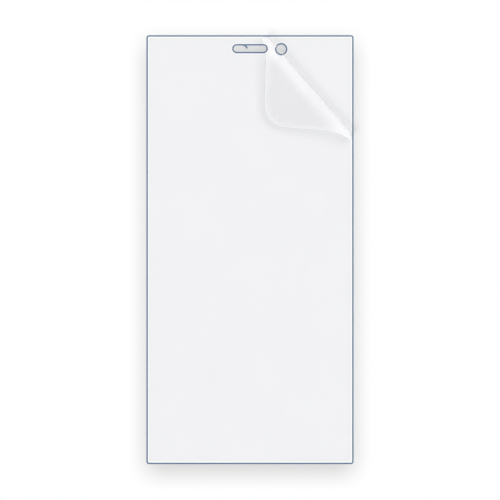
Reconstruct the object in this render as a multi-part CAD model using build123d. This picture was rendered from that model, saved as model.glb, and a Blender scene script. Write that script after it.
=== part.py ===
from build123d import *
import os
from math import cos, radians, sin, tan

# Clear phone screen protector, in millimetres. It lies on its underside at z = 0, with the phone's top
# edge towards +Y. The bevelled sheet has a speaker slot and a camera hole. A thin cover film lies on the
# sheet, and its top right corner is peeled back into a soft curl.

# Protector sheet
SHEET_WIDTH = 68.0
SHEET_LENGTH = 140.8
SHEET_THICKNESS = 0.3
SHEET_CORNER_RADIUS = 0.8
BEVEL_WIDTH = 0.41
EDGE_LAND = 0.1

# Speaker slot, centred on the width
SLOT_LENGTH = 10.8
SLOT_HEIGHT = 2.1
SLOT_FROM_TOP = 4.42

# Hooked sliver that the cutter left where it ran into the slot's upper edge
SLIVER_FROM_MIDDLE = 2.68
SLIVER_RADIUS = 2.0
SLIVER_TURN = 65.0
SLIVER_WIDTH = 0.42

# Camera hole
HOLE_DIAMETER = 3.12
HOLE_FROM_MIDDLE = 10.26
HOLE_FROM_TOP = 4.58

# Cover film, laid on the sheet just inside its bevel
FILM_THICKNESS = 0.12
FILM_CORNER_RADIUS = 0.4
FILM_TO_BEVEL = 0.1

# Peeled corner. The film lifts along a straight line between a point on its top edge and a point on its
# right edge, both measured from its own top right corner.
LIFT_ALONG_TOP = 30.0
LIFT_ALONG_SIDE = 34.4

# Section of the curl, along the film's middle: it rises through a quarter turn, folds back until it is
# tilted by FOLD_TILT, relaxes in a wide arc and ends in a straight flap that slopes down to its tip.
RISE_RADIUS = 1.95
FOLD_RADIUS = 0.9
FOLD_TILT = 30.0
RELAX_RADIUS = 8.5
FLAP_SLOPE = 8.0

# Outline of the folded flap, seen from above: its corner, the lean of its two edges, the stretch at the
# end of each edge that flares out to the lift line, and the rounding where the flare meets the film's edge
FLAP_WIDTH = 29.0
FLAP_DROP = 29.3
FLAP_CORNER_RADIUS = 7.2
SIDE_LEAN = 1.4
FOOT_LEAN = 4.8
SIDE_FLARE = 7.5
FOOT_FLARE = 8.8
FLARE_END_RADIUS = 0.4

# Room that cutting bodies reach past the film
SPARE = 2.0

TOP_EDGE = SHEET_LENGTH / 2
FILM_INSET = BEVEL_WIDTH + FILM_TO_BEVEL
FILM_RIGHT = SHEET_WIDTH / 2 - FILM_INSET
FILM_TOP = SHEET_LENGTH / 2 - FILM_INSET
LIFT_START = Vector(FILM_RIGHT - LIFT_ALONG_TOP, FILM_TOP)
LIFT_END = Vector(FILM_RIGHT, FILM_TOP - LIFT_ALONG_SIDE)
FLAP_CORNER = Vector(FILM_RIGHT - FLAP_WIDTH, FILM_TOP - FLAP_DROP)


def cutter_sliver():
    """A thin hook that leaves the slot's upper edge tangentially and bends down into the slot."""
    slot_top = TOP_EDGE - SLOT_FROM_TOP + SLOT_HEIGHT / 2
    root = Vector(-SLIVER_FROM_MIDDLE, slot_top + SLIVER_WIDTH / 2)
    hook = trace(JernArc(root, (1, 0), SLIVER_RADIUS, -SLIVER_TURN), SLIVER_WIDTH)
    return extrude(hook, EDGE_LAND)


def protector_sheet():
    """The sheet with its two cut-outs, every upper edge bevelled."""
    outline = RectangleRounded(SHEET_WIDTH, SHEET_LENGTH, SHEET_CORNER_RADIUS)
    slot = Pos(0, TOP_EDGE - SLOT_FROM_TOP) * SlotOverall(SLOT_LENGTH, SLOT_HEIGHT)
    hole = Pos(HOLE_FROM_MIDDLE, TOP_EDGE - HOLE_FROM_TOP) * Circle(HOLE_DIAMETER / 2)
    sheet = extrude(outline - slot - hole, SHEET_THICKNESS)
    face = sheet.faces().sort_by(Axis.Z)[-1]
    sheet = chamfer(face.edges(), BEVEL_WIDTH, SHEET_THICKNESS - EDGE_LAND, reference=face)
    return sheet + cutter_sliver()


def film_outline():
    """The film's outline as if it still lay flat."""
    return RectangleRounded(2 * FILM_RIGHT, 2 * FILM_TOP, FILM_CORNER_RADIUS)


def flap_outline():
    """The folded flap and the curl seen from above, within the film's own edges."""
    side_rise = FLAP_DROP - SIDE_FLARE
    side_top = FLAP_CORNER + Vector(side_rise * tan(radians(SIDE_LEAN)), side_rise)
    foot_run = FLAP_WIDTH - FOOT_FLARE
    foot_end = FLAP_CORNER + Vector(foot_run, -foot_run * tan(radians(FOOT_LEAN)))
    up_the_side = (sin(radians(SIDE_LEAN)), cos(radians(SIDE_LEAN)))
    along_the_foot = (cos(radians(FOOT_LEAN)), -sin(radians(FOOT_LEAN)))
    past_corner = Vector(FILM_RIGHT + SPARE, FILM_TOP + SPARE)
    edges = (
        TangentArc(side_top, LIFT_START, tangent=up_the_side)
        + FilletPolyline(side_top, FLAP_CORNER, foot_end, radius=FLAP_CORNER_RADIUS)
        + TangentArc(foot_end, LIFT_END, tangent=along_the_foot)
        + Polyline(
            LIFT_END,
            (past_corner.X, LIFT_END.Y),
            past_corner,
            (LIFT_START.X, past_corner.Y),
            LIFT_START,
        )
    )
    outline = film_outline() & make_face(edges)
    flare_ends = [outline.vertices().sort_by_distance(point)[0] for point in (LIFT_START, LIFT_END)]
    return fillet(flare_ends, FLARE_END_RADIUS)


def curl_plane():
    """Plane across the lift line: its x points out to the lifted corner and its y points up."""
    along = (LIFT_END - LIFT_START).normalized()
    outwards = Vector(-along.Y, along.X)
    origin = LIFT_START - along * SPARE + Vector(0, 0, SHEET_THICKNESS)
    return Plane(origin, x_dir=outwards, z_dir=along)


def curl_lines():
    """Middle line of the curled film, in two stretches that meet where the film stands upright."""
    rise = JernArc((0, FILM_THICKNESS / 2), (1, 0), RISE_RADIUS, 90)
    fold = JernArc(rise @ 1, rise % 1, FOLD_RADIUS, 90 - FOLD_TILT)
    relax = JernArc(fold @ 1, fold % 1, RELAX_RADIUS, FOLD_TILT + FLAP_SLOPE)
    reach = FLAP_WIDTH + FLAP_DROP
    tail = Line(relax @ 1, (relax @ 1) + (relax % 1) * reach)
    return rise, fold + relax + tail


def peel_film():
    """The film: its flat part, the rising half of the curl, and the upper half with the flap."""
    lift_length = (LIFT_END - LIFT_START).length
    across = curl_plane()
    rise, folded = curl_lines()
    curl_height = 2 * (RISE_RADIUS + FOLD_RADIUS) + RELAX_RADIUS
    on_sheet = Pos(0, 0, SHEET_THICKNESS)
    column = extrude(on_sheet * film_outline(), curl_height)
    flap_column = extrude(on_sheet * flap_outline(), curl_height)
    flat = extrude(on_sheet * film_outline(), FILM_THICKNESS)
    flat = split(flat, bisect_by=Plane(across.origin, z_dir=across.x_dir), keep=Keep.BOTTOM)
    rising = extrude(across * trace(rise, FILM_THICKNESS), lift_length + 2 * SPARE) & column
    upper = extrude(across * trace(folded, FILM_THICKNESS), lift_length + 2 * SPARE) & flap_column
    return flat + rising + upper


os.makedirs("parts", exist_ok=True)
NODES = {"protector_sheet": protector_sheet(), "peel_film": peel_film()}
for name, solid in NODES.items():
    export_step(solid, f"parts/{name}.step")
    box = solid.bounding_box()
    print(name, len(solid.solids()), "solid", round(solid.volume, 3), "mm3", box.min, box.max)
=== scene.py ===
# %% [markdown]
# # A clear screen protector with its cover film peeled back at one corner
# The object is a flat plastic sheet that goes on the glass of a phone. A thinner film covers its face
# until it has been fitted, and the film's top right corner has been pulled up, so that it has rolled over
# on itself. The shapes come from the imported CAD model, which is loaded first and stays where it is. This
# lesson gives the two layers their finish, a floor, studio light and the view from straight above.

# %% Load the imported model
from math import ceil, cos, radians, sin

import bmesh
import bpy
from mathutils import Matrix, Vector
from mathutils.kdtree import KDTree


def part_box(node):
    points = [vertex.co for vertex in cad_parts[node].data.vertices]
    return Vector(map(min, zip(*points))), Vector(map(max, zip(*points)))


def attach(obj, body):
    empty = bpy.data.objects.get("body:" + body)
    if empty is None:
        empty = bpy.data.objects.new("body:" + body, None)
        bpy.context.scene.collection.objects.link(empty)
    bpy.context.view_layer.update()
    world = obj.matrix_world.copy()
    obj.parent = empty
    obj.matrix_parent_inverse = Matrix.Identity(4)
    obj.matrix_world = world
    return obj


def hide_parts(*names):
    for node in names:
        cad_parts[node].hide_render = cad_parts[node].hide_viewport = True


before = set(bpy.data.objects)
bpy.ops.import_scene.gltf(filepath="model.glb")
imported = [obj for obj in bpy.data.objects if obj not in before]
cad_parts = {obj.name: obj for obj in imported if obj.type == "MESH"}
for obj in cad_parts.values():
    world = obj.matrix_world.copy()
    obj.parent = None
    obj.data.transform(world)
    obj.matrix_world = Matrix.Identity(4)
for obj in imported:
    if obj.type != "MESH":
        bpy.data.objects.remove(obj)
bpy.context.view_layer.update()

MM = 0.001
cad_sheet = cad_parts["protector_sheet"]
cad_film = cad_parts["peel_film"]
sheet_low, sheet_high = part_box("protector_sheet")
sheet_top = sheet_high.z

# %% [markdown]
# ## The camera
# The picture looks straight down, and the sheet's sides are parallel in it, with no perspective at all.
# A long lens far away would come close, but an orthographic camera gives exactly that view: its scale is
# simply the width of the picture at the object. The sheet lies a hair above the middle of the picture.

# %% Camera looking straight down
PICTURE_WIDTH = 164.15 * MM
SHEET_ABOVE_MIDDLE = 0.11 * MM
CAMERA_HEIGHT = 600 * MM

camera_data = bpy.data.cameras.new("camera_from_above")
camera_data.type = "ORTHO"
camera_data.ortho_scale = PICTURE_WIDTH
camera = bpy.data.objects.new("camera_from_above", camera_data)
camera.location = (0, -SHEET_ABOVE_MIDDLE, CAMERA_HEIGHT)
bpy.context.scene.collection.objects.link(camera)
bpy.context.scene.camera = camera
bpy.context.scene.view_settings.view_transform = "Standard"
print("picture width in mm:", round(camera_data.ortho_scale / MM, 2))

# %% [markdown]
# ## Helpers for shader nodes
# A material is a small network of nodes. A few helpers keep the cells below short: one adds a node and
# fills or links its inputs, one does a sum on numbers, one turns a range of values into another range, one
# blends two colours by a mask, one starts a material with nothing in it but its output, and one gives the
# place on the object, split into its three coordinates.

# %% Node helpers
def link_or_set(tree, socket, value):
    if isinstance(value, bpy.types.NodeSocket):
        tree.links.new(value, socket)
    else:
        socket.default_value = value


def add_node(tree, kind, inputs=None, **settings):
    node = tree.nodes.new(kind)
    for name, value in settings.items():
        setattr(node, name, value)
    for name, value in (inputs or {}).items():
        link_or_set(tree, node.inputs[name], value)
    return node


def combine(tree, operation, *values):
    return add_node(tree, "ShaderNodeMath", dict(enumerate(values)), operation=operation).outputs[0]


def ramp(tree, value, start, end, low=0.0, high=1.0, curve="SMOOTHSTEP"):
    inputs = {"Value": value, "From Min": start, "From Max": end, "To Min": low, "To Max": high}
    return add_node(tree, "ShaderNodeMapRange", inputs, interpolation_type=curve).outputs["Result"]


def blend_colours(tree, mask, first, second):
    inputs = {0: mask, 6: first, 7: second}
    return add_node(tree, "ShaderNodeMix", inputs, data_type="RGBA").outputs[2]


def empty_material(name):
    material = bpy.data.materials.new(name)
    material.use_nodes = True
    tree = material.node_tree
    tree.nodes.clear()
    return material, tree, tree.nodes.new("ShaderNodeOutputMaterial")


def place_on_object(tree):
    place = tree.nodes.new("ShaderNodeTexCoord").outputs["Object"]
    return add_node(tree, "ShaderNodeSeparateXYZ", {0: place}).outputs


print("node helpers ready")

# %% [markdown]
# ## Two shared effects
# Both layers are drawn plastic, and neither is perfectly even: the haze in it varies a little, and faint
# draw lines run along its length. That is one node group, placed in each material with its own strength.
# The second group gives the distance to an outline with round corners, negative inside it. It could be a
# painted mask, but a distance stays sharp however near the camera comes. It finds the painted highlight rim
# beside the sheet's bevel, it tells the film where it passes over a cut-out, and it tells the floor's
# painted shade what the sheet covers.

# %% Node group for haze and draw lines
CLOUD_SIZE = 20 * MM
CLOUD_DETAIL = 3.0
LINE_WIDTH = 0.6 * MM
LINE_STRETCH = 0.02
LINE_DETAIL = 1.0


def new_group(name, inputs, outputs):
    group = bpy.data.node_groups.new(name, "ShaderNodeTree")
    for label, kind, value in inputs:
        socket = group.interface.new_socket(label, in_out="INPUT", socket_type=kind)
        socket.default_value = value
    for label, kind in outputs:
        group.interface.new_socket(label, in_out="OUTPUT", socket_type=kind)
    return group, group.nodes.new("NodeGroupInput").outputs, group.nodes.new("NodeGroupOutput").inputs


def drawn_plastic_group():
    number = "NodeSocketFloat"
    inputs = [("Cloud Size", number, CLOUD_SIZE), ("Line Width", number, LINE_WIDTH)]
    group, given, result = new_group("drawn_plastic", inputs, [("Haze", number), ("Height", number)])
    place = group.nodes.new("ShaderNodeTexCoord").outputs["Object"]
    cloud_scale = combine(group, "DIVIDE", 1.0, given["Cloud Size"])
    clouds = add_node(
        group, "ShaderNodeTexNoise", {"Vector": place, "Scale": cloud_scale, "Detail": CLOUD_DETAIL}
    )
    stretch = {0: place, 1: (1, LINE_STRETCH, 1)}
    along = add_node(group, "ShaderNodeVectorMath", stretch, operation="MULTIPLY").outputs[0]
    line_scale = combine(group, "DIVIDE", 1.0, given["Line Width"])
    lines = add_node(
        group, "ShaderNodeTexNoise", {"Vector": along, "Scale": line_scale, "Detail": LINE_DETAIL}
    )
    group.links.new(clouds.outputs[0], result["Haze"])
    group.links.new(lines.outputs[0], result["Height"])
    return group


drawn_plastic = drawn_plastic_group()
print("group:", drawn_plastic.name)

# %% Node group for the distance to a rounded outline
def outline_distance_group():
    vector, number = "NodeSocketVector", "NodeSocketFloat"
    inputs = [
        ("Centre", vector, (0, 0, 0)),
        ("Half Size", vector, (1, 1, 0)),
        ("Corner Radius", number, 0.0),
    ]
    group, given, result = new_group("outline_distance", inputs, [("Distance", number)])

    def vector_math(operation, *values):
        return add_node(group, "ShaderNodeVectorMath", dict(enumerate(values)), operation=operation).outputs

    place = group.nodes.new("ShaderNodeTexCoord").outputs["Object"]
    flat = vector_math("MULTIPLY", vector_math("SUBTRACT", place, given["Centre"])[0], (1, 1, 0))[0]
    past_sides = vector_math("SUBTRACT", vector_math("ABSOLUTE", flat)[0], given["Half Size"])[0]
    radius = given["Corner Radius"]
    radii = add_node(group, "ShaderNodeCombineXYZ", {"X": radius, "Y": radius}).outputs[0]
    past_core = vector_math("ADD", past_sides, radii)[0]
    outside = vector_math("LENGTH", vector_math("MAXIMUM", past_core, (0, 0, 0))[0])["Value"]
    split = add_node(group, "ShaderNodeSeparateXYZ", {0: past_core}).outputs
    inside = combine(group, "MINIMUM", combine(group, "MAXIMUM", split["X"], split["Y"]), 0.0)
    distance = combine(group, "SUBTRACT", combine(group, "ADD", outside, inside), radius)
    group.links.new(distance, result["Distance"])
    return group


outline_distance = outline_distance_group()
print("group:", outline_distance.name)

# %% Outlines of the sheet and its two cut-outs
SHEET_CORNER_RADIUS = 0.8 * MM
SLOT_CENTRE = Vector((0, 65.98, 0)) * MM
SLOT_HALF_SIZE = Vector((5.4, 1.05, 0)) * MM
HOLE_CENTRE = Vector((10.26, 65.82, 0)) * MM
HOLE_RADIUS = 1.56 * MM

OUTLINES = {
    "sheet": (Vector((0, 0, 0)), Vector((sheet_high.x, sheet_high.y, 0)), SHEET_CORNER_RADIUS),
    "slot": (SLOT_CENTRE, SLOT_HALF_SIZE, SLOT_HALF_SIZE.y),
    "hole": (HOLE_CENTRE, Vector((HOLE_RADIUS, HOLE_RADIUS, 0)), HOLE_RADIUS),
}


def from_cut_edges(tree, names):
    """The distance from the nearest of these edges into the plastic, negative where there is none."""
    into_plastic = None
    for name in names:
        centre, half_size, radius = OUTLINES[name]
        inputs = {"Centre": centre, "Half Size": half_size, "Corner Radius": radius}
        distance = add_node(tree, "ShaderNodeGroup", inputs, node_tree=outline_distance).outputs["Distance"]
        if name == "sheet":
            distance = combine(tree, "MULTIPLY", distance, -1.0)
        into_plastic = combine(tree, "MINIMUM", into_plastic, distance) if into_plastic else distance
    return into_plastic


print("outlines:", list(OUTLINES))

# %% [markdown]
# ## The floor and its soft shade
# The sheet lies on a plain white floor. It is only a third of a millimetre thick, so by itself it throws
# hardly any shadow, yet the picture shows a wide soft shade round it, a little lower than the sheet, and
# the same grey shows through the slot and the hole. The shade could come from lifting the sheet, but then
# it would hover in every other view. So it is a painted shade in the floor's colour: a grey rectangle as
# large as the sheet, moved down a little, that fades out softly on all four sides. Under the plastic itself
# the floor stays white, because light goes through the clear sheet. The floor still takes the real shadows.

# %% Floor
FLOOR_SIDE = 3000 * MM
FLOOR_BELOW_SHEET = 0.04 * MM

floor_data = bpy.data.meshes.new("floor")
half_floor = FLOOR_SIDE / 2
corner_signs = ((-1, -1), (1, -1), (1, 1), (-1, 1))
corners = [(x * half_floor, y * half_floor, -FLOOR_BELOW_SHEET) for x, y in corner_signs]
floor_data.from_pydata(corners, [], [(0, 1, 2, 3)])
floor = bpy.data.objects.new("floor", floor_data)
bpy.context.scene.collection.objects.link(floor)
print("floor side in m:", FLOOR_SIDE)

# %% Floor finish with painted shade
FLOOR_WHITE = (0.94, 0.94, 0.94, 1)
SHADE_GREY = (0.567, 0.567, 0.577, 1)
SHADE_BLUR = 7.2 * MM
SHADE_DROP = 2.7 * MM
FLOOR_GLOW = 0.06


def fade_past(tree, value, edge, blur):
    return ramp(tree, combine(tree, "ABSOLUTE", value), edge - blur, edge + blur, 1, 0)


def seen_directly(tree):
    """1 for the rays that show a background: straight from the camera, mirrored, or through clear stuff."""
    path = tree.nodes.new("ShaderNodeLightPath").outputs
    through = combine(tree, "MAXIMUM", path["Is Glossy Ray"], path["Is Transmission Ray"])
    return combine(tree, "MAXIMUM", path["Is Camera Ray"], through)


floor_paint, tree, output = empty_material("floor_white_with_painted_shade")
place = place_on_object(tree)
# painted shade: a soft grey rectangle in the floor colour, left out under the plastic but kept in the
# cut-outs
across = fade_past(tree, place["X"], sheet_high.x, SHADE_BLUR)
along = fade_past(tree, combine(tree, "ADD", place["Y"], SHADE_DROP), sheet_high.y, SHADE_BLUR)
uncovered = combine(tree, "LESS_THAN", from_cut_edges(tree, OUTLINES), 0.0)
shade = combine(tree, "MULTIPLY", combine(tree, "MULTIPLY", across, along), uncovered)
floor_colour = blend_colours(tree, shade, FLOOR_WHITE, SHADE_GREY)
paint = add_node(
    tree,
    "ShaderNodeBsdfPrincipled",
    {
        "Base Color": floor_colour,
        "Roughness": 1.0,
        "Specular IOR Level": 0.0,
        "Emission Color": floor_colour,
        "Emission Strength": combine(tree, "MULTIPLY", seen_directly(tree), FLOOR_GLOW),
    },
)
tree.links.new(paint.outputs[0], output.inputs["Surface"])
floor_data.materials.append(floor_paint)
print("floor shade spreads over mm:", 2 * SHADE_BLUR / MM)

# %% [markdown]
# ## Studio light
# Clear plastic is shown by what it reflects. A pale dome lights everything evenly. The key softbox stands
# towards the upper right, beyond the peeled corner: where the rolled film tilts towards it, it shows as
# the bright band along the roll. A fill softbox stands on the other side, so that the curl has a soft
# shadow on both sides, and it is kept out of reflections so that there is only one band. Together they are
# set so that a white surface renders white. A ray that looks down through the roll crosses a dozen clear
# faces, so the limit on those crossings is raised.

# %% World
DOME_STRENGTH = 0.402
CLEAR_CROSSINGS = 24

world = bpy.data.worlds.new("studio")
bpy.context.scene.world = world
world.use_nodes = True
tree = world.node_tree
tree.nodes.clear()
strength = ramp(tree, seen_directly(tree), 0, 1, DOME_STRENGTH, 1.0, "LINEAR")
sky = add_node(tree, "ShaderNodeBackground", {"Color": (1, 1, 1, 1), "Strength": strength})
world_output = tree.nodes.new("ShaderNodeOutputWorld")
tree.links.new(sky.outputs[0], world_output.inputs["Surface"])
bpy.context.scene.cycles.transparent_max_bounces = CLEAR_CROSSINGS
print("dome strength:", DOME_STRENGTH)

# %% Softboxes
SOFTBOX_DISTANCE = 6000 * MM
KEY_TOWARDS = Vector((0.754, 0.657, 0))
KEY_FROM_ZENITH = 38
KEY_SIZE = 4850 * MM
KEY_POWER = 185.0
FILL_FROM_ZENITH = 44
FILL_SIZE = 3900 * MM
FILL_POWER = 140.0


def softbox(name, towards, from_zenith, size, power):
    tilt = radians(from_zenith)
    data = bpy.data.lights.new(name, "AREA")
    data.shape = "DISK"
    data.size = size
    data.energy = power
    lamp = bpy.data.objects.new(name, data)
    lamp.location = (towards * sin(tilt) + Vector((0, 0, cos(tilt)))) * SOFTBOX_DISTANCE
    lamp.rotation_mode = "QUATERNION"
    lamp.rotation_quaternion = lamp.location.to_track_quat("Z", "Y")
    bpy.context.scene.collection.objects.link(lamp)
    print(name, "at m:", [round(v, 2) for v in lamp.location])
    return lamp


key = softbox("key_softbox", KEY_TOWARDS, KEY_FROM_ZENITH, KEY_SIZE, KEY_POWER)
fill = softbox("fill_softbox", -KEY_TOWARDS, FILL_FROM_ZENITH, FILL_SIZE, FILL_POWER)
fill.visible_glossy = False

# %% [markdown]
# ## The protector sheet
# The sheet's CAD solid already has the right shape, so it keeps its mesh and only gets a finish. Its face
# is milky clear: the ground that shows in the cut-outs, in the floor's painted shade, is darker than the
# face, so the plastic itself scatters light. The bevel along every edge gathers the light that runs inside
# the sheet and looks blue-grey, all but its sharp lip. Beside the bevel runs a fine painted highlight: a
# near-white opaque rim, weaker round the two cut-outs. Each could be a mesh of its own, but all of them
# follow the cut edges, so one material finds them by their distance from those edges.

# %% Where the sheet's face, bevel and painted highlight rim are
BEVEL_WIDTH = 0.41 * MM
BEVEL_LIP = 0.02 * MM
DARK_PAST_BEVEL = 0.06 * MM
RIM_HIGHLIGHT_WIDTH = 0.42 * MM
CUT_OUT_RIM_HIGHLIGHT = 0.7
LEVEL_ENOUGH = 0.97
FACE_DEPTH = 0.02 * MM

sheet_finish, tree, output = empty_material("milky_sheet")
true_normal = tree.nodes.new("ShaderNodeNewGeometry").outputs["True Normal"]
normal_z = add_node(tree, "ShaderNodeSeparateXYZ", {0: true_normal}).outputs["Z"]
height = place_on_object(tree)["Z"]
level = combine(tree, "GREATER_THAN", combine(tree, "ABSOLUTE", normal_z), LEVEL_ENOUGH)
at_top = combine(tree, "GREATER_THAN", height, sheet_top - FACE_DEPTH)
at_bottom = combine(tree, "LESS_THAN", height, sheet_low.z + FACE_DEPTH)
lower_face = combine(tree, "MULTIPLY", at_bottom, level)
from_outer_edge = from_cut_edges(tree, ["sheet"])
from_cut_outs = from_cut_edges(tree, ["slot", "hole"])
into_plastic = combine(tree, "MINIMUM", from_outer_edge, from_cut_outs)
near_edge = combine(tree, "LESS_THAN", combine(tree, "ABSOLUTE", into_plastic), BEVEL_LIP)
lip = combine(tree, "MULTIPLY", near_edge, combine(tree, "SUBTRACT", 1.0, level))
past_bevel = combine(tree, "GREATER_THAN", into_plastic, BEVEL_WIDTH + DARK_PAST_BEVEL)
upper_face = combine(tree, "MULTIPLY", at_top, past_bevel)
# painted highlight: the near-white rim band beside the bevel, weaker round the cut-outs
rim_highlight_end = BEVEL_WIDTH + DARK_PAST_BEVEL + RIM_HIGHLIGHT_WIDTH
outer_rim_highlight = combine(tree, "LESS_THAN", from_outer_edge, rim_highlight_end)
inner_rim_highlight = combine(tree, "LESS_THAN", from_cut_outs, rim_highlight_end)
rim_highlight = combine(tree, "MAXIMUM", outer_rim_highlight, combine(tree, "MULTIPLY", inner_rim_highlight, CUT_OUT_RIM_HIGHLIGHT))
print("masks: lower face, lip, upper face, rim")

# %% Sheet finish
FACE_COLOUR = (0.98, 0.982, 1.0, 1)
FACE_COLOUR_THIN = (0.975, 0.977, 0.995, 1)
RIM_HIGHLIGHT_COLOUR = (0.99, 0.99, 0.995, 1)
LIP_COLOUR = (0.9, 0.905, 0.92, 1)
EDGE_COLOUR = (0.1, 0.165, 0.28, 1)
FACE_COVER = (0.79, 0.81)
RIM_HIGHLIGHT_COVER = 1.0
FACE_ROUGHNESS = (0.16, 0.24)
EDGE_ROUGHNESS = 0.5
PLASTIC_IOR = 1.5
HAZE_RANGE = (0.3, 0.7)
DRAW_LINES = {"Strength": 0.01, "Distance": 0.02 * MM}

plastic = add_node(tree, "ShaderNodeGroup", node_tree=drawn_plastic).outputs
haze = ramp(tree, plastic["Haze"], *HAZE_RANGE)
face_colour = blend_colours(tree, haze, FACE_COLOUR_THIN, FACE_COLOUR)
# painted highlight: the rim band is painted near-white and fully covering
face_colour = blend_colours(tree, rim_highlight, face_colour, RIM_HIGHLIGHT_COLOUR)
side_colour = blend_colours(tree, lip, EDGE_COLOUR, LIP_COLOUR)
face_cover = ramp(tree, rim_highlight, 0, 1, ramp(tree, haze, 0, 1, *FACE_COVER, "LINEAR"), RIM_HIGHLIGHT_COVER, "LINEAR")
upper_cover = ramp(tree, upper_face, 0, 1, 1.0, face_cover, "LINEAR")
face_roughness = ramp(tree, haze, 0, 1, *FACE_ROUGHNESS, "LINEAR")
bump = add_node(tree, "ShaderNodeBump", {"Height": plastic["Height"], **DRAW_LINES})
shader = add_node(
    tree,
    "ShaderNodeBsdfPrincipled",
    {
        "Base Color": blend_colours(tree, upper_face, side_colour, face_colour),
        "Roughness": ramp(tree, upper_face, 0, 1, EDGE_ROUGHNESS, face_roughness, "LINEAR"),
        "IOR": PLASTIC_IOR,
        "Alpha": combine(tree, "MULTIPLY", upper_cover, combine(tree, "SUBTRACT", 1.0, lower_face)),
        "Normal": bump.outputs[0],
    },
)
tree.links.new(shader.outputs[0], output.inputs["Surface"])
cad_sheet.material_slots[0].material = sheet_finish
print("sheet finish:", sheet_finish.name, "nodes:", len(tree.nodes))

# %% [markdown]
# ## The cover film as its own piece
# The CAD film lies face to face on the sheet, and two faces in one plane flicker in a render. Its curl is
# also made of a few wide facets, which show in a gloss. A subdivision of that mesh would round off its
# edges. So the film is made here the way it came about: cut flat, then rolled up. The outline is read from
# the CAD mesh and unrolled into the flat cut. Two fine bands are set apart along its edge, to carry a
# painted dark line of shade at the very edge and a painted bright line of highlight inside it. The flat
# film is scored into narrow strips along the lift line, and each point is then carried round the curl.

# %% Section of the curl
FILM_THICKNESS = 0.12 * MM
LIFT_ALONG_TOP = 30.0 * MM
LIFT_ALONG_SIDE = 34.4 * MM
CURL_STRETCHES = {"rise": (1.95 * MM, 90), "fold": (0.9 * MM, 60), "relax": (8.5 * MM, 38)}

film_low, film_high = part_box("peel_film")
film_middle = sheet_top + FILM_THICKNESS / 2
lift_start = Vector((film_high.x - LIFT_ALONG_TOP, film_high.y, film_middle))
lift_end = Vector((film_high.x, film_high.y - LIFT_ALONG_SIDE, film_middle))
lift_along = (lift_end - lift_start).normalized()
lift_out = Vector((-lift_along.y, lift_along.x, 0))


def curl_point(run):
    """How far out, how high and at what heading the film's middle is, after a run from the lift line."""
    out, up, heading = min(run, 0.0), 0.0, 0.0
    left = max(run, 0.0)
    for radius, turn in CURL_STRETCHES.values():
        angle = min(left / radius, radians(turn))
        out += radius * (sin(heading + angle) - sin(heading))
        up += radius * (cos(heading) - cos(heading + angle))
        heading += angle
        left -= radius * angle
    return out + left * cos(heading), up + left * sin(heading), heading


curl_run = sum(radius * radians(turn) for radius, turn in CURL_STRETCHES.values())
print("film runs round the curl for mm:", round(curl_run / MM, 2))

# %% Outline of the CAD film's underside
WELD = 0.0005 * MM
UPRIGHT = 0.05
FACES_OUT = 0.95


def is_cut_edge(face):
    """True on the film's thin upright cut edge, and not where the roll itself stands upright."""
    beyond_lift = (face.calc_center_median() - lift_start).dot(lift_out) > 0
    on_roll = beyond_lift and abs(face.normal.dot(lift_out)) > FACES_OUT
    return abs(face.normal.z) < UPRIGHT and not on_roll


def film_border():
    """The corners of the CAD film's underside, in order along its edge."""
    solid = bmesh.new()
    solid.from_mesh(cad_film.data)
    bmesh.ops.remove_doubles(solid, verts=solid.verts, dist=WELD)
    solid.normal_update()
    wall = {face for face in solid.faces if is_cut_edge(face)}
    edges = [edge for edge in solid.edges if sum(face in wall for face in edge.link_faces) == 1]
    beside = {}
    for edge in edges:
        for corner in edge.verts:
            beside.setdefault(corner, []).append(edge.other_vert(corner))
    corner = min(beside, key=lambda v: (v.co.z, v.co.x, v.co.y))
    border, before = [corner.co.copy()], None
    while True:
        following = next(v for v in beside[corner] if v is not before)
        before, corner = corner, following
        if (corner.co - border[0]).length < WELD:
            break
        border.append(corner.co.copy())
    solid.free()
    return border


border = film_border()
print("corners along the film's edge:", len(border))

# %% Closer points where the edge goes round the curl
POINT_STEP = 0.3 * MM


def closer_points(border):
    """The border with points added on its lifted edges, so that it bends with the curl."""
    points = []
    for first, second in zip(border, border[1:] + border[:1]):
        lifted = max(first.z, second.z) > film_middle
        steps = ceil((second - first).length / POINT_STEP) if lifted else 1
        points += [first.lerp(second, step / steps) for step in range(steps)]
    return points


border = closer_points(border)
print("points along the film's edge:", len(border))

# %% Unroll the outline into the flat cut
SAMPLE_STEP = 0.02 * MM
LONGEST_RUN = 70 * MM

sample_count = int(LONGEST_RUN / SAMPLE_STEP) + 1
samples = KDTree(sample_count)
for index in range(sample_count):
    out, up, heading = curl_point(index * SAMPLE_STEP)
    underside = (out + sin(heading) * FILM_THICKNESS / 2, up - cos(heading) * FILM_THICKNESS / 2, 0)
    samples.insert(underside, index)
samples.balance()


def unroll(corner):
    """A corner of the curled film, put back where it was on the flat cut."""
    place = corner - lift_start
    along, run = place.dot(lift_along), place.dot(lift_out)
    if run > 0 or place.z > 0:
        on_section = Vector((run, place.z, 0))
        nearest, index, _ = samples.find(on_section)
        heading = curl_point(index * SAMPLE_STEP)[2]
        run = index * SAMPLE_STEP + (on_section - nearest).dot((cos(heading), sin(heading), 0))
    return lift_start + lift_along * along + lift_out * run


flat_cut = [unroll(corner) for corner in border]

# %% Score the flat film into strips and roll it up
# the two bands along the cut edge: painted shade outside, painted highlight inside
HIGHLIGHT_SLOT = 1
SHADE_SLOT = 2
EDGE_BANDS = {SHADE_SLOT: 0.18 * MM, HIGHLIGHT_SLOT: 0.22 * MM}
STRIPS_PER_STRETCH = 18
GUARD_STRIP = 0.2 * MM


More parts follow.
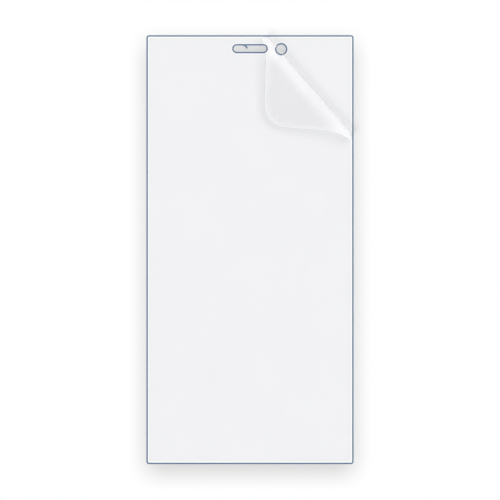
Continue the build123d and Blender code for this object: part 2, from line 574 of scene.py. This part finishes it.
def scores():
    """Runs at which the flat film is scored: evenly over each stretch, and just outside the curl."""
    lines = [-GUARD_STRIP]
    run = 0.0
    for radius, turn in CURL_STRETCHES.values():
        length = radius * radians(turn)
        lines += [run + length * step / STRIPS_PER_STRETCH for step in range(STRIPS_PER_STRETCH)]
        run += length
    return [*lines, run, run + GUARD_STRIP]


def roll_up(place):
    flat = place - lift_start
    out, up, heading = curl_point(flat.dot(lift_out))
    return lift_start + lift_along * flat.dot(lift_along) + lift_out * out + Vector((0, 0, up))


strips = bmesh.new()
whole = strips.faces.new([strips.verts.new(place) for place in flat_cut])
strips.normal_update()
if whole.normal.z < 0:
    whole.normal_flip()
for slot, width in EDGE_BANDS.items():
    band = bmesh.ops.inset_region(
        strips, faces=[whole], thickness=width, use_boundary=True, use_even_offset=True
    )["faces"]
    for face in band:
        face.material_index = slot
for run in scores():
    everything = [*strips.verts, *strips.edges, *strips.faces]
    bmesh.ops.bisect_plane(
        strips, geom=everything, plane_co=lift_start + lift_out * run, plane_no=lift_out, dist=WELD
    )
bmesh.ops.dissolve_degenerate(strips, dist=WELD, edges=strips.edges)
for corner in strips.verts:
    corner.co = roll_up(corner.co)
for strip in strips.faces:
    strip.smooth = True
film_data = bpy.data.meshes.new("cover_film")
strips.to_mesh(film_data)
strips.free()
print("film strips and rim faces:", len(film_data.polygons))

# %% Film piece
VISIBLE_THICKNESS = 0.11 * MM

film = bpy.data.objects.new("cover_film", film_data)
bpy.context.scene.collection.objects.link(film)
body = film.modifiers.new("film_thickness", "SOLIDIFY")
body.thickness = VISIBLE_THICKNESS
body.offset = 0
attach(film, "root")
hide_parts("peel_film")
print("film piece:", film.name)

# %% [markdown]
# ## The film's finish
# Where the film is stuck down, its lower face meets the sheet and it is almost invisible. Where it is
# peeled, both faces meet air, so it takes on a gloss and the glue side scatters a little light. Both come
# in with the height above the sheet. The haze is a nearly see-through paint. Its own shader could carry
# the gloss as well, but a see-through paint fades its gloss with it. So a soft mirror is mixed in by the
# angle of view, weak face on and stronger at the roll's edge. Where the film is level over the slot or the
# hole it stays clearer, because their outlines show undimmed through it. The two bands along the cut edge
# are a painted dark line of shade and a painted bright line of highlight, each with a haze and a colour.

# %% Where the film keeps its haze and gloss
CLEAR_WITHIN = 0.6 * MM
HAZY_BEYOND = 0.8 * MM
LEVEL_FROM = 0.75
UPRIGHT_FROM = 0.45


def kept_share(tree):
    """1 away from the cut-outs and where the film stands upright, 0 where it is level over one of them."""
    off_cut_outs = ramp(tree, from_cut_edges(tree, ["slot", "hole"]), CLEAR_WITHIN, HAZY_BEYOND)
    normal = tree.nodes.new("ShaderNodeNewGeometry").outputs["Normal"]
    normal_z = add_node(tree, "ShaderNodeSeparateXYZ", {0: normal}).outputs["Z"]
    upright = ramp(tree, combine(tree, "ABSOLUTE", normal_z), UPRIGHT_FROM, LEVEL_FROM, 1, 0)
    return combine(tree, "MAXIMUM", off_cut_outs, upright)


print("film clears round the cut-outs within mm:", round(HAZY_BEYOND / MM, 2))

# %% Haze of the film
HAZE_COLOUR = (0.845, 0.845, 0.855, 1)
# painted highlight and painted shade: colours of the two bands along the film's cut edge
CUT_HIGHLIGHT = (0.95, 0.955, 0.97, 1)
CUT_SHADE = (0.35, 0.36, 0.38, 1)
HAZE_PEELED = 0.13
HAZE_CUT_HIGHLIGHT = 0.9
HAZE_CUT_SHADE = 0.16
HAZE_UNEVEN = (0.85, 1.15)
HAZE_ROUGHNESS = 0.5
PEELED_FROM = 0.14 * MM
PEELED_FULLY = 0.6 * MM


def milky_film(tree, plastic, peeled, kept, haze_peeled, haze_colour):
    """The see-through paint: none where the film is stuck down, or level over a cut-out."""
    uneven = ramp(tree, plastic["Haze"], *HAZE_RANGE, *HAZE_UNEVEN)
    haze = combine(tree, "MULTIPLY", combine(tree, "MULTIPLY", peeled, haze_peeled), uneven)
    inputs = {
        "Base Color": haze_colour,
        "Roughness": HAZE_ROUGHNESS,
        "Specular IOR Level": 0.0,
        "Alpha": combine(tree, "MULTIPLY", haze, kept),
    }
    return add_node(tree, "ShaderNodeBsdfPrincipled", inputs).outputs[0]


print("film turns hazy over mm:", round(PEELED_FROM / MM, 2), "to", round(PEELED_FULLY / MM, 2))

# %% Gloss of the film
FILM_ROUGHNESS = 0.5
GLOSS_FACE_ON = 0.056
GLOSS_GRAZING = 0.15
GRAZING_POWER = 5.0
EVEN_BLEND = 0.5
LEAST_GLOSS = 0.15


def soft_mirror(tree, plastic, kept):
    """The mirror of the gloss, weaker where the film is level over a cut-out."""
    bump = add_node(tree, "ShaderNodeBump", {"Height": plastic["Height"], **DRAW_LINES})
    inputs = {
        "Base Color": (1, 1, 1, 1),
        "Metallic": 1.0,
        "Roughness": FILM_ROUGHNESS,
        "Alpha": ramp(tree, kept, 0, 1, LEAST_GLOSS, 1, "LINEAR"),
        "Normal": bump.outputs[0],
    }
    return add_node(tree, "ShaderNodeBsdfPrincipled", inputs).outputs[0]


def gloss_share(tree, peeled):
    """How much of the mirror shows, by the angle of view."""
    facing = add_node(tree, "ShaderNodeLayerWeight", {"Blend": EVEN_BLEND}).outputs["Facing"]
    grazing = combine(tree, "POWER", facing, GRAZING_POWER)
    share = ramp(tree, grazing, 0, 1, GLOSS_FACE_ON, GLOSS_GRAZING, "LINEAR")
    return combine(tree, "MULTIPLY", share, peeled)


print("gloss shares face on and at the edge:", GLOSS_FACE_ON, GLOSS_GRAZING)

# %% Film finishes
def film_finish(name, haze_peeled, haze_colour):
    material, tree, output = empty_material(name)
    peeled = ramp(tree, place_on_object(tree)["Z"], sheet_top + PEELED_FROM, sheet_top + PEELED_FULLY)
    plastic = add_node(tree, "ShaderNodeGroup", node_tree=drawn_plastic).outputs
    kept = kept_share(tree)
    milky = milky_film(tree, plastic, peeled, kept, haze_peeled, haze_colour)
    mirror = soft_mirror(tree, plastic, kept)
    surface = add_node(tree, "ShaderNodeMixShader", {0: gloss_share(tree, peeled), 1: milky, 2: mirror})
    tree.links.new(surface.outputs[0], output.inputs["Surface"])
    return material


film_data.materials.append(film_finish("clear_film", HAZE_PEELED, HAZE_COLOUR))
# painted highlight and painted shade along the film's cut edge
film_data.materials.append(film_finish("film_cut_highlight", HAZE_CUT_HIGHLIGHT, CUT_HIGHLIGHT))
film_data.materials.append(film_finish("film_cut_shade", HAZE_CUT_SHADE, CUT_SHADE))
print("film finishes:", [m.name for m in film_data.materials])
